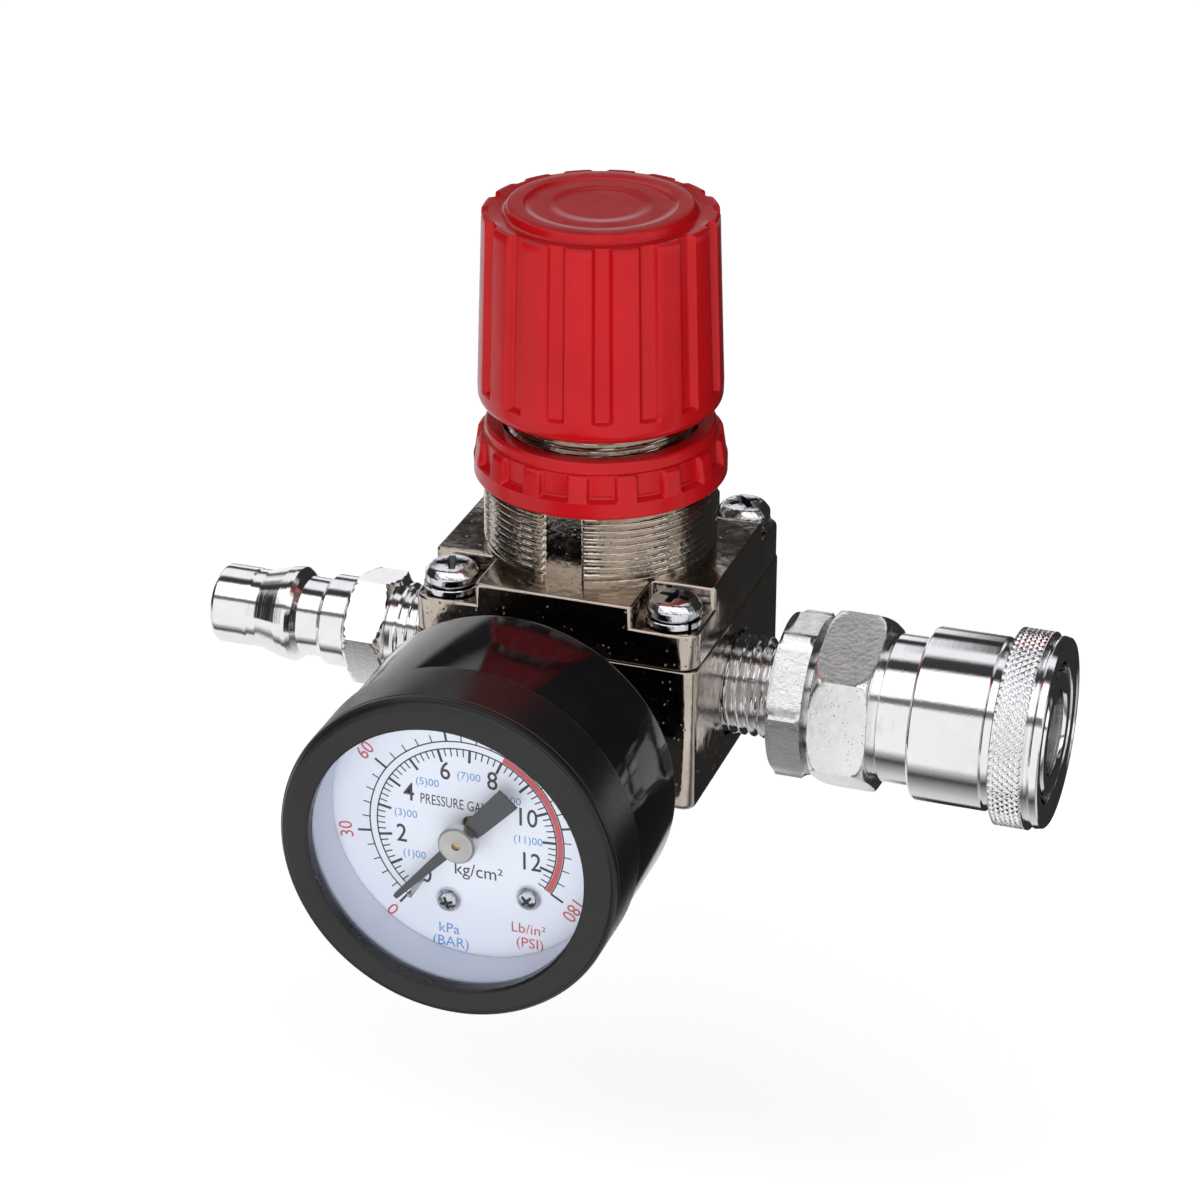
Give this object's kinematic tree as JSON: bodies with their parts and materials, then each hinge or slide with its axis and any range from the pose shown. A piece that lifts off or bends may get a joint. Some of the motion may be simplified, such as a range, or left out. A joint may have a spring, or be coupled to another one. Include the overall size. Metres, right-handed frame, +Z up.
{
  "type": "pressure regulator with gauge",
  "caption": "Small compressed-gas pressure regulator with a fluted adjusting knob, toothed lock ring, square body, round dial gauge, plug-end inlet and quick-release socket outlet.",
  "frame": {"origin": "centre of the bonnet flange's top face, on the knob's axis, where a panel would sit", "axes": "+X from the plug inlet to the socket outlet, -Y towards the front of the gauge, +Z up along the knob"},
  "size_m": [0.1149, 0.0718, 0.0866],
  "materials": {
    "nickel_casting": "warm nickel plate over a die casting, glossy with an orange-peel skin",
    "chrome": "polished, bright",
    "zinc_screw": "bright zinc plate",
    "steel": "plain turned steel",
    "spring_steel": "drawn wire",
    "brass": "turned brass",
    "red_plastic": "glossy moulded red",
    "black_enamel": "gloss black stove enamel",
    "bezel_black": "satin black",
    "rubber": "matt",
    "dial_white": "matt pale enamel with printed scales",
    "spacer_plastic": "matt pale",
    "pointer_grey": "matt dark grey",
    "clear_lens": "clear, glossy"
  },
  "bodies": {
    "regulator": {"body": "nickel_casting", "bonnet": "nickel_casting", "inlet_plug": "chrome", "outlet_nipple": "chrome", "socket_body": "chrome", "bonnet_screw_1": "zinc_screw", "bonnet_screw_2": "zinc_screw", "bonnet_screw_3": "zinc_screw", "bonnet_screw_4": "zinc_screw", "spring_washer_1": "zinc_screw", "spring_washer_2": "zinc_screw", "spring_washer_3": "zinc_screw", "spring_washer_4": "zinc_screw", "dial_screw_1": "zinc_screw", "dial_screw_2": "zinc_screw", "rear_port_plug": "steel", "stop_pin": "steel", "stop_ring": "steel", "poppet_spring": "spring_steel", "range_spring": "spring_steel", "socket_valve_spring": "spring_steel", "sleeve_spring": "spring_steel", "bottom_plug": "brass", "gauge_stem": "brass", "movement_front_plate": "brass", "movement_back_plate": "brass", "movement_pillar_1": "brass", "movement_pillar_2": "brass", "bourdon_tube": "brass", "gauge_case": "black_enamel", "gauge_bezel": "bezel_black", "diaphragm": "rubber", "bottom_plug_o_ring": "rubber", "socket_packing": "rubber", "gauge_dial": "dial_white", "lens_spacer": "spacer_plastic", "gauge_lens": "clear_lens"},
    "adjusting_screw": {"adjusting_screw": "steel"},
    "knob": {"knob": "red_plastic"},
    "spring_nut": {"spring_nut": "brass"},
    "lock_ring_insert": {"lock_ring_insert": "brass"},
    "lock_ring": {"lock_ring": "red_plastic"},
    "diaphragm_plate": {"diaphragm_plate": "brass"},
    "poppet": {"poppet_valve": "brass", "poppet_seal": "rubber"},
    "pointer": {"pointer": "pointer_grey", "pointer_hub": "chrome", "pinion_shaft": "brass"},
    "sector": {"sector_gear": "brass"},
    "sleeve": {"socket_sleeve": "chrome"},
    "socket_valve": {"socket_valve": "brass"},
    "ball_1": {"locking_ball_1": "steel"},
    "ball_2": {"locking_ball_2": "steel"},
    "ball_3": {"locking_ball_3": "steel"},
    "ball_4": {"locking_ball_4": "steel"}
  },
  "joints": [
    {"name": "knob_turn", "type": "hinge", "parent": "regulator", "child": "adjusting_screw", "pos_m": [0, 0, 0.019], "axis": [0, 0, -1], "range_deg": [0, 1801], "deforming": ["range_spring"]},
    {"name": "knob_lock", "type": "slide", "parent": "adjusting_screw", "child": "knob", "axis": [0, 0, -1], "range_m": [0, 0.0015]},
    {"name": "nut_travel", "type": "slide", "parent": "regulator", "child": "spring_nut", "axis": [0, 0, -1], "range_m": [0, 0.0075], "deforming": ["range_spring"]},
    {"name": "lock_ring_advance", "type": "slide", "parent": "regulator", "child": "lock_ring_insert", "axis": [0, 0, 1], "range_m": [0, 0.0012]},
    {"name": "lock_ring_turn", "type": "hinge", "parent": "lock_ring_insert", "child": "lock_ring", "pos_m": [0, 0, 0.0127], "axis": [0, 0, 1], "range_deg": [0, 289]},
    {"name": "diaphragm_lift", "type": "slide", "parent": "regulator", "child": "diaphragm_plate", "axis": [0, 0, -1], "range_m": [0, 0.001], "stiffness_N_per_m": 400, "deforming": ["diaphragm", "range_spring"]},
    {"name": "poppet_lift", "type": "slide", "parent": "regulator", "child": "poppet", "axis": [0, 0, -1], "range_m": [0, 0.001], "deforming": ["poppet_spring"]},
    {"name": "pointer_turn", "type": "hinge", "parent": "regulator", "child": "pointer", "pos_m": [-0.00155, -0.047, -0.0198], "axis": [0, 1, 0], "range_deg": [0, 264]},
    {"name": "sector_turn", "type": "hinge", "parent": "regulator", "child": "sector", "pos_m": [0.00255, -0.0417, -0.03108], "axis": [0, -1, 0], "range_deg": [0, 29.5]},
    {"name": "sleeve_slide", "type": "slide", "parent": "regulator", "child": "sleeve", "axis": [-1, 0, 0], "range_m": [0, 0.0035], "stiffness_N_per_m": 900, "deforming": ["sleeve_spring"]},
    {"name": "socket_valve_lift", "type": "slide", "parent": "regulator", "child": "socket_valve", "axis": [-1, 0, 0], "range_m": [0, 0.003], "stiffness_N_per_m": 500, "deforming": ["socket_valve_spring"]},
    {"name": "ball_1_slide", "type": "slide", "parent": "regulator", "child": "ball_1", "axis": [0, 1, 0], "range_m": [0, 0.0008]},
    {"name": "ball_2_slide", "type": "slide", "parent": "regulator", "child": "ball_2", "axis": [0, -1, 0], "range_m": [0, 0.0008]},
    {"name": "ball_3_slide", "type": "slide", "parent": "regulator", "child": "ball_3", "axis": [0, 0, 1], "range_m": [0, 0.0008]},
    {"name": "ball_4_slide", "type": "slide", "parent": "regulator", "child": "ball_4", "axis": [0, 0, -1], "range_m": [0, 0.0008]}
  ],
  "couplings": [
    {"joint": "knob_turn", "follows": "nut_travel", "rad_per_m": 4188.8},
    {"joint": "lock_ring_turn", "follows": "lock_ring_advance", "rad_per_m": 4188.8},
    {"joint": "poppet_lift", "follows": "diaphragm_lift", "ratio": 1},
    {"joint": "sector_turn", "follows": "pointer_turn", "ratio": 0.11111},
    {"joint": "ball_1_slide", "follows": "sleeve_slide", "ratio": 0.22847},
    {"joint": "ball_2_slide", "follows": "sleeve_slide", "ratio": 0.22847},
    {"joint": "ball_3_slide", "follows": "sleeve_slide", "ratio": 0.22847},
    {"joint": "ball_4_slide", "follows": "sleeve_slide", "ratio": 0.22847}
  ]
}
